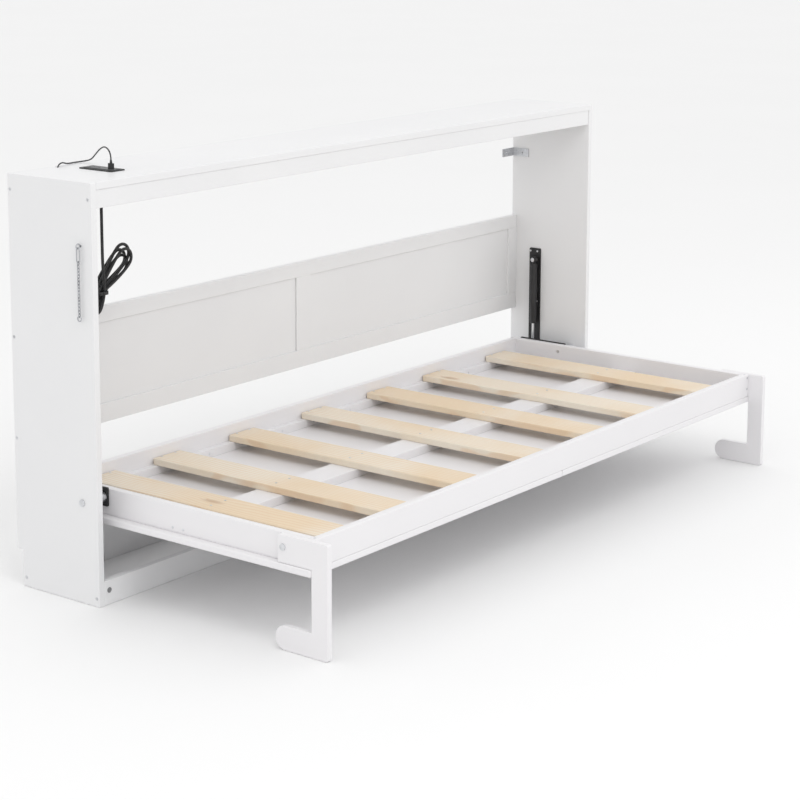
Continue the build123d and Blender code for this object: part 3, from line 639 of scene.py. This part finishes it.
def copies(name, pattern, placements):
    """One mesh from a pattern piece, copied to each (place, outward direction)."""
    made = []
    for place, out in placements:
        copy = pattern.copy()
        copy.data = pattern.data.copy()
        bpy.context.scene.collection.objects.link(copy)
        turn = Vector(out).to_track_quat("Z", "Y").to_matrix().to_4x4()
        copy.data.transform(Matrix.Translation(place) @ turn)
        made.append(copy)
    bpy.data.objects.remove(pattern)
    return joined(name, made)


def thin_axis(low, high):
    """The axis along which a box is thinnest."""
    size = high - low
    return min(range(3), key=lambda axis: size[axis])


def outward(low, high, inside):
    """The middle of a flat head's foot and the way it faces, away from the point inside."""
    axis = thin_axis(low, high)
    middle = (low + high) / 2
    way = 1 if middle[axis] > inside[axis] else -1
    place = middle.copy()
    place[axis] = low[axis] if way == 1 else high[axis]
    out = Vector((0, 0, 0))
    out[axis] = way
    return place, out


# %% Screw heads of the bed
def heads_for(node, name, ways):
    """Domed heads in place of the flat ones of a node; ways gives the place and direction of each."""
    boxes = shells(node)
    size = boxes[0][1] - boxes[0][0]
    radius, rise = max(size) / 2, min(size)
    piece = copies(name, screw_head(radius, rise), [ways(low, high) for low, high in boxes])
    dress(piece, bright_zinc)
    smooth(piece)
    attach(piece, "bed")
    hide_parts(node)
    print(name, len(boxes), "heads,", len(piece.data.polygons), "faces")


rail_low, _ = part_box("bed_rear_rail")
_, front_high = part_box("bed_front_rail")
bed_middle_y = (rail_low.y + front_high.y) / 2


def bed_screw_way(low, high):
    """Heads on the inner faces of the cleats look at the bed's middle, the others away from it."""
    middle = (low + high) / 2
    on_cleat = thin_axis(low, high) == 1 and front_high.y < middle.y < rail_low.y
    if on_cleat:
        mirrored = Vector((0, 2 * middle.y - bed_middle_y, 0))
        return outward(low, high, mirrored)
    return outward(low, high, Vector((0, bed_middle_y, 0)))


def slat_screw_way(low, high):
    """All heads on the slats look up."""
    return outward(low, high, Vector((0, 0, -1)))


heads_for("slat_screws", "slat_screw_heads", slat_screw_way)
heads_for("bed_screws", "bed_screw_heads", bed_screw_way)


# %% [markdown]
# ## Long screws of the cabinet
# These run through the side panels into the ends of the boards, and only their flat heads show. The model
# holds each screw whole, so one is turned with its point, shank and head and is copied to every place.

# %% Long screws
SHANK = 0.0025  # radius
POINT = 0.006
HEAD_DEPTH = 0.0016
RIM = 0.0003
CROSS_DEPTH = 0.0012


def long_screws():
    """Head and shank along Z, the flat head at the top, cut by a cross and copied to every screw."""
    boxes = shells("cabinet_screws")
    size = boxes[0][1] - boxes[0][0]
    radius, length = size.y / 2, size.x
    rings = [
        (0.2 * SHANK, -length),
        (SHANK, -length + POINT),
        (SHANK, -HEAD_DEPTH),
        (radius, -HEAD_DEPTH),
        (radius, -RIM),
        (0.9 * radius, 0),
    ]
    screw = turned("long_screw", rings, 24)
    cut_cross(screw, radius, 1.2, CROSS_DEPTH, 0)
    placements = []
    for low, high in boxes:
        middle = (low + high) / 2
        right = middle.x > 0
        place = Vector((high.x if right else low.x, middle.y, middle.z))
        placements.append((place, Vector((1 if right else -1, 0, 0))))
    return copies("cabinet_screw_set", screw, placements)


cabinet_screw_set = long_screws()
dress(cabinet_screw_set, bright_zinc)
smooth(cabinet_screw_set)
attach(cabinet_screw_set, "cabinet")
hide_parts("cabinet_screws")
print("cabinet screws:", len(cabinet_screw_set.data.polygons), "faces")

# %% [markdown]
# ## Strain relief of the mains lead
# Where the lead leaves the power unit, a rubber sleeve keeps it from being bent sharply. It is a taper with
# ribs that let it bend, and so it is turned: each rib is five rings.

# %% Ribbed strain relief
relief_radius = (gland_high.x - gland_low.x) / 2
relief_length = gland_high.z - gland_low.z
RIBS = 6
NECK = 0.0008  # thickness of the sleeve's wall at its thin end
# The rings of a rib: the radius as a factor of the taper's, and the place as a share of the rib's height
RIB_RINGS = ((1, 0), (1.06, 0.12), (1.06, 0.55), (0.92, 0.68), (0.92, 0.96))
rib_height = relief_length / RIBS
relief_rings = []
for rib in range(RIBS):
    share = rib / RIBS
    radius = MAINS / 2 + NECK + (relief_radius - MAINS / 2 - NECK) * share
    start = gland_low.z + relief_length * share
    relief_rings += [(factor * radius, start + place * rib_height) for factor, place in RIB_RINGS]
COLLAR = 0.0012  # height of the smooth end against the power unit
relief_rings.append((relief_radius, gland_high.z - COLLAR))
relief_rings.append((relief_radius, gland_high.z))
strain_relief = turned("strain_relief", relief_rings)
strain_relief.data.transform(Matrix.Translation((mains_x, mains_y, 0)))
dress(strain_relief, black_plastic)
smooth(strain_relief, 50)
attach(strain_relief, "cabinet")
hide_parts("mains_gland")
print("strain relief:", len(strain_relief.data.polygons), "faces")

# %% [markdown]
# ## Plug of the mains lead
# The plug swells from the lead to its face, with grooves where fingers grip it and two flat blades. A small
# block is extruded down step by step, and each new face is scaled: a little smaller for a groove, a little
# larger for the ridge after it. A bevel then takes the sharpness off the edges.


# %% Plug
def rounded(piece, width):
    """Rounds a piece's sharp edges with a bevel of two steps."""
    rounding = piece.modifiers.new("rounding", "BEVEL")
    rounding.width = width
    rounding.segments = 2
    rounding.limit_method = "ANGLE"
    apply_all(piece)


def lowest_z(piece):
    """The height of a piece's lowest corner."""
    return min(vert.co.z for vert in piece.data.vertices)


def extruded_down(piece, steps):
    """Extrudes the lowest face of a block down, by (drop, x factor, y factor) steps."""
    alone(piece)
    bpy.ops.object.mode_set(mode="EDIT")
    bpy.ops.mesh.select_all(action="DESELECT")
    bpy.ops.mesh.select_mode(type="FACE")
    bpy.ops.object.mode_set(mode="OBJECT")
    lowest = min(piece.data.polygons, key=lambda face: face.center.z)
    lowest.select = True
    bpy.ops.object.mode_set(mode="EDIT")
    level = lowest_z(piece)
    for drop, x_factor, y_factor in steps:
        level -= drop
        bpy.ops.mesh.extrude_region_move(TRANSFORM_OT_translate={"value": (0, 0, -drop)})
        middle = (plug_x, plug_y, level)
        bpy.ops.transform.resize(value=(x_factor, y_factor, 1), center_override=middle)
    bpy.ops.object.mode_set(mode="OBJECT")


PLUG_NECK = (0.016, 0.012, 0.004)
# Each step down the plug: how far, and the factors of its width and depth
SHOULDER = (0.003, 1.10, 1.10)
GROOVES = 4
GROOVE = (0.0012, 0.93, 0.93)
GROOVE_BACK = (0.0012, 1 / 0.93, 1 / 0.93)
RIDGE = (0.0022, 1.07, 1.08)
FRONT = (0.0086, 1.05, 1.09)
mains_plug_body = block("mains_plug_body", PLUG_NECK, (plug_x, plug_y, plug_high.z - PLUG_NECK[2] / 2))
extruded_down(mains_plug_body, [SHOULDER, *GROOVES * (GROOVE, GROOVE_BACK, RIDGE), FRONT])
rounded(mains_plug_body, 0.0006)

BLADE = (0.0015, 0.0063, 0.018)  # thickness, width and length
BLADE_OFFSET = 0.00635  # from the plug's middle to each blade's
blades = []
for side in (-1, 1):
    blade_middle = (plug_x + side * BLADE_OFFSET, plug_y, plug_low.z + BLADE[2] / 2)
    blades.append(block("blade", BLADE, blade_middle))
    rounded(blades[-1], 0.0004)
plug_blades = joined("plug_blades", blades)
dress(mains_plug_body, black_plastic)
dress(plug_blades, bright_zinc)
smooth(mains_plug_body, 40)
for piece, slot in ((mains_plug_body, "black_plastic"), (plug_blades, "zinc_steel")):
    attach(piece, "cabinet")
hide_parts("mains_plug")
print("plug:", len(mains_plug_body.data.polygons), "faces, ends at", round(lowest_z(mains_plug_body), 4))

# %% [markdown]
# ## Straps round the hanks
# A hook-and-loop strap is a flat band laid tight round the strands, with its tail pressed over the front. A
# block gets its upright edges rounded, loses its top and bottom, and its thin skin is then given a thickness.

# %% Strap round a hank
STRAP = 0.0012  # thickness
STRAP_CORNER = 0.22  # rounding of the band, in its smaller width
TAIL = (0.5, 0.86)  # of the band's width and height
TAIL_ASIDE = 0.05  # from the band's middle, in its width


def strap(name, low, high, replaced=()):
    """A band round a hank: a box without its top and bottom, thickened, with a tail laid over it."""
    size = high - low
    middle = (low + high) / 2
    band = block(name, size, middle)
    rounding = band.modifiers.new("corners", "BEVEL")
    rounding.width = STRAP_CORNER * min(size.x, size.y)
    rounding.segments = 5
    rounding.limit_method = "WEIGHT"
    weights = band.data.attributes.new("bevel_weight_edge", "FLOAT", "EDGE")
    for edge in band.data.edges:
        first, second = (band.data.vertices[number].co for number in edge.vertices)
        weights.data[edge.index].value = 1.0 if abs(first.z - second.z) > size.z / 2 else 0.0
    apply_all(band)
    alone(band)
    bpy.ops.object.mode_set(mode="EDIT")
    bpy.ops.mesh.select_mode(type="FACE")
    bpy.ops.mesh.select_all(action="DESELECT")
    bpy.ops.object.mode_set(mode="OBJECT")
    for face in band.data.polygons:
        face.select = abs(face.normal.z) > 0.9
    bpy.ops.object.mode_set(mode="EDIT")
    bpy.ops.mesh.delete(type="FACE")
    bpy.ops.object.mode_set(mode="OBJECT")
    wall = band.modifiers.new("wall", "SOLIDIFY")
    wall.thickness = STRAP
    wall.offset = -1
    apply_all(band)
    tail_size = (TAIL[0] * size.x, STRAP, TAIL[1] * size.z)
    tail_middle = (middle.x + TAIL_ASIDE * size.x, low.y - STRAP / 2, middle.z)
    tail = block("tail", tail_size, tail_middle)
    rounded(tail, 0.0004)
    piece = joined(name, [band, tail])
    dress(piece, black_plastic)
    smooth(piece, 40)
    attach(piece, "cabinet")
    if replaced:
        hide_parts(*replaced)
    return piece


mains_strap = strap("mains_strap", tie_low, tie_high, ["hank_tie"])
STRAP_GAP = 0.0008  # between the charging lead's hank and its strap
HALF_STRAP = 0.004  # half the height of that strap
lead_middle_z = (lead_low.z + lead_high.z) / 2
lead_strap_low = Vector((lead_low.x - STRAP_GAP, lead_low.y - STRAP_GAP, lead_middle_z - HALF_STRAP))
lead_strap_high = Vector((lead_high.x + STRAP_GAP, lead_high.y + STRAP_GAP, lead_middle_z + HALF_STRAP))
lead_strap = strap("lead_strap", lead_strap_low, lead_strap_high)
print("straps:", len(mains_strap.data.polygons), "and", len(lead_strap.data.polygons), "faces")

# %% [markdown]
# ## Small bright fittings
# Three screws hold each strut plate, and a zinc cap ends each stud, where the strut's clip snaps on. The
# power unit has a small light at its front end. They are only millimetres across, but they are the brightest
# things on black parts, so the eye looks for them. One low dome is turned for each kind and then copied.


# %% Plate screws, stud caps and the indicator
def small_domes(name, radius, rise, placements, material, slot):
    """The same low dome at each (place, outward direction)."""
    rings = [(radius, 0), (radius, 0.5 * rise), (0.7 * radius, 0.9 * rise), (0.3 * radius, rise)]
    piece = copies(name, turned("dome", rings, 20), placements)
    dress(piece, material)
    smooth(piece, 50)
    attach(piece, "cabinet")


PLATE = 0.004  # thickness
STUD_HEIGHT = 0.532
STUD_AHEAD = 0.006  # of the stud in front of its plate's middle
LIGHT_INSET = 0.004  # of the light from the front edge of the power unit's face
# Each plate screw: its Y from the plate's middle, and how far it is below the plate's top
SCREWS_ON_PLATE = ((-0.009, 0.010), (0.017, 0.010), (-0.009, 0.175))
# The radius and the rise of each kind of dome
SCREW_DOME, STUD_DOME, LIGHT_DOME = (0.0032, 0.0016), (0.0068, 0.0030), (0.0016, 0.0007)
plate_screws, stud_caps = [], []
for name, side in (("left", -1), ("right", 1)):
    plate_low, plate_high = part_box(f"strut_plate_{name}")
    inward = Vector((-side, 0, 0))
    stud_end = plate_low.x if side == 1 else plate_high.x
    plate_face = (plate_high.x - PLATE) if side == 1 else (plate_low.x + PLATE)
    plate_y = (plate_low.y + plate_high.y) / 2
    stud_caps.append((Vector((stud_end, plate_y - STUD_AHEAD, STUD_HEIGHT)), inward))
    for along, below in SCREWS_ON_PLATE:
        plate_screws.append((Vector((plate_face, plate_y + along, plate_high.z - below)), inward))
small_domes("plate_screws", *SCREW_DOME, plate_screws, bright_zinc, "zinc_steel")
small_domes("stud_caps", *STUD_DOME, stud_caps, bright_zinc, "zinc_steel")
face_low, face_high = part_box("power_face")
indicator_white = moulded("indicator_white", (0.70, 0.72, 0.70), 0.25, 900.0)
light_place = Vector(((face_low.x + face_high.x) / 2, face_low.y + LIGHT_INSET, face_high.z))
upward = Vector((0, 0, 1))
small_domes("indicator", *LIGHT_DOME, [(light_place, upward)], indicator_white, "grey_plastic")
print("small fittings:", len(plate_screws) + len(stud_caps) + 1)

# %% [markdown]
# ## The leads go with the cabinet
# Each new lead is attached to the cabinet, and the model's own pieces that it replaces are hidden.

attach(mains_lead, "cabinet")
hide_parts("mains_cord", "mains_hank")
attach(charging_cord, "cabinet")
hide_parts("charging_lead", "lead_hank")
print("leads declared:", mains_lead.name, charging_cord.name)

# %% [markdown]
# ## Floor and light
# The bed stands on a wide pale floor under soft light from all round, with one large lamp above the front on
# the left and a weaker one on the right, so that the tops are a little brighter than the sides. White on
# white needs this: what separates the boards is only a few percent of light.

# %% Floor and world
bpy.ops.object.select_all(action="DESELECT")
FLOOR_GAP = 0.0005  # below the feet, so that no two faces share a place
bpy.ops.mesh.primitive_plane_add(size=60, location=(0, 0, -FLOOR_GAP))
floor = bpy.context.object
floor.name = "floor"
floor_shader = Shader("pale_floor")
floor_cloud = floor_shader.noise(0.8, 2.0)
floor_shader.put("Base Color", floor_shader.mix(floor_cloud, (0.90, 0.90, 0.90), (0.885, 0.885, 0.885)))
floor_shader.put("Roughness", 0.75 + 0.1 * floor_cloud)
dress(floor, floor_shader.material)

world = bpy.data.worlds.new("studio")
world.use_nodes = True
sky = world.node_tree.nodes["Background"]
sky.inputs["Color"].default_value = (1, 1, 1, 1)
sky.inputs["Strength"].default_value = 1.0
bpy.context.scene.world = world
bpy.context.scene.view_settings.view_transform = "Standard"


def lamp(name, place, target, size, power):
    """A square lamp that looks at a target; the power is in watts."""
    data = bpy.data.lights.new(name, "AREA")
    data.size = size
    data.energy = power
    piece = bpy.data.objects.new(name, data)
    piece.location = place
    piece.rotation_euler = (Vector(target) - Vector(place)).to_track_quat("-Z", "Y").to_euler()
    bpy.context.scene.collection.objects.link(piece)


BED_MIDDLE = (0, -0.4, 0.5)
LAMP_SIZE = 2.4
KEY_POWER, FILL_POWER = 42, 12
lamp("key", (-2.2, -3.4, 4.6), BED_MIDDLE, LAMP_SIZE, KEY_POWER)
lamp("fill", (3.6, -3.2, 2.6), BED_MIDDLE, LAMP_SIZE, FILL_POWER)
print("lamps:", KEY_POWER, "and", FILL_POWER, "watts")

# %% [markdown]
# ## Camera
# The view is from the front left, from higher than the cabinet, so that the slats, the open window in the
# back and both leads show. The camera stands about 6 m from the middle of the bed, with a long lens.

# %% Camera
CAMERA_PLACE = (-4.586, -3.848, 1.767)
CAMERA_YAW = 0.9021  # in radians, from the wall's direction towards the right end
CAMERA_PITCH = 0.1715  # in radians, down
CAMERA_LENS = 95.27
CAMERA_SHIFT = (0.05, -0.20)
SENSOR = 36
camera_data = bpy.data.cameras.new("camera")
camera_data.lens = CAMERA_LENS
camera_data.sensor_width = SENSOR
camera_data.shift_x, camera_data.shift_y = CAMERA_SHIFT
camera = bpy.data.objects.new("camera", camera_data)
camera.location = CAMERA_PLACE
camera.rotation_euler = (pi / 2 - CAMERA_PITCH, 0, -CAMERA_YAW)
bpy.context.scene.collection.objects.link(camera)
bpy.context.scene.camera = camera
print("camera at", CAMERA_PLACE, "with a lens of", CAMERA_LENS, "mm")
